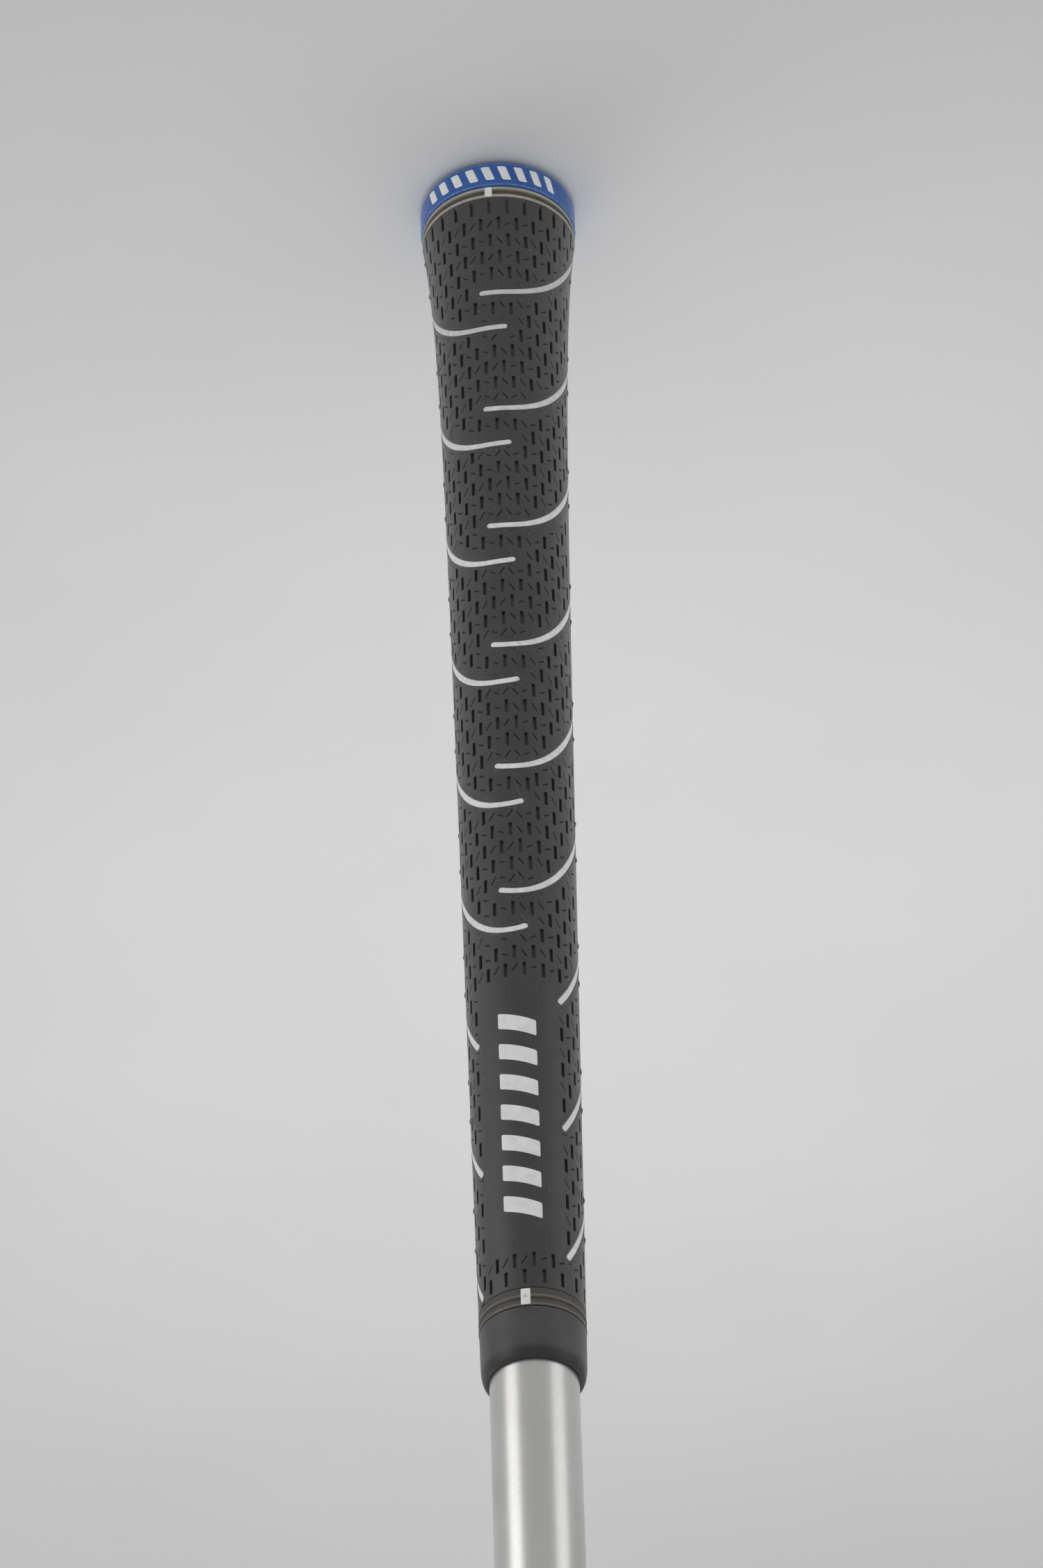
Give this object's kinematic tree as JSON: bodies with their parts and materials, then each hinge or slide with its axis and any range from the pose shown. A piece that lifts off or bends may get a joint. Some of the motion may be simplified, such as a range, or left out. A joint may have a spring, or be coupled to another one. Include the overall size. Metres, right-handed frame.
{
  "type": "golf grip",
  "caption": "Slip-on golf grip with a flared butt, coloured end cap and staggered painted lines, fitted on the butt end of a tubular steel shaft.",
  "frame": {"origin": "centre of the end cap's flat end face, which the grip stands on", "axes": "+Z along the shaft from the cap towards the club head; -Y is the front, the side with the smooth panel; +X is the left side seen from the front with the cap at the top"},
  "size_m": [0.029, 0.029, 0.32],
  "materials": {
    "rubber": "moulded matte rubber",
    "cap": "glossy blue",
    "ring": "satin olive-grey",
    "paint": "satin off-white paint fill",
    "tape": "matte paper tape",
    "shaft": "satin"
  },
  "bodies": {
    "root": {"grip_sleeve": "rubber", "end_cap": "cap", "cap_joint_ring": "ring", "mouth_trim_ring": "ring", "grip_tape": "tape", "shaft_butt_section": "shaft", "paint_line_left_1": "paint", "paint_line_left_2": "paint", "paint_line_left_3": "paint", "paint_line_left_4": "paint", "paint_line_left_5": "paint", "paint_line_left_6": "paint", "paint_line_left_7": "paint", "paint_line_left_8": "paint", "paint_line_left_9": "paint", "paint_line_right_1": "paint", "paint_line_right_2": "paint", "paint_line_right_3": "paint", "paint_line_right_4": "paint", "paint_line_right_5": "paint", "paint_line_right_6": "paint", "paint_line_right_7": "paint", "paint_line_right_8": "paint", "paint_line_right_9": "paint", "panel_bar_1": "paint", "panel_bar_2": "paint", "panel_bar_3": "paint", "panel_bar_4": "paint", "panel_bar_5": "paint", "panel_bar_6": "paint", "panel_bar_7": "paint", "cap_bar_1": "paint", "cap_bar_2": "paint", "cap_bar_3": "paint", "cap_bar_4": "paint", "cap_bar_5": "paint", "cap_bar_6": "paint", "cap_bar_7": "paint", "cap_bar_8": "paint", "cap_bar_9": "paint", "cap_alignment_mark": "paint", "mouth_alignment_mark": "paint"}
  },
  "joints": []
}
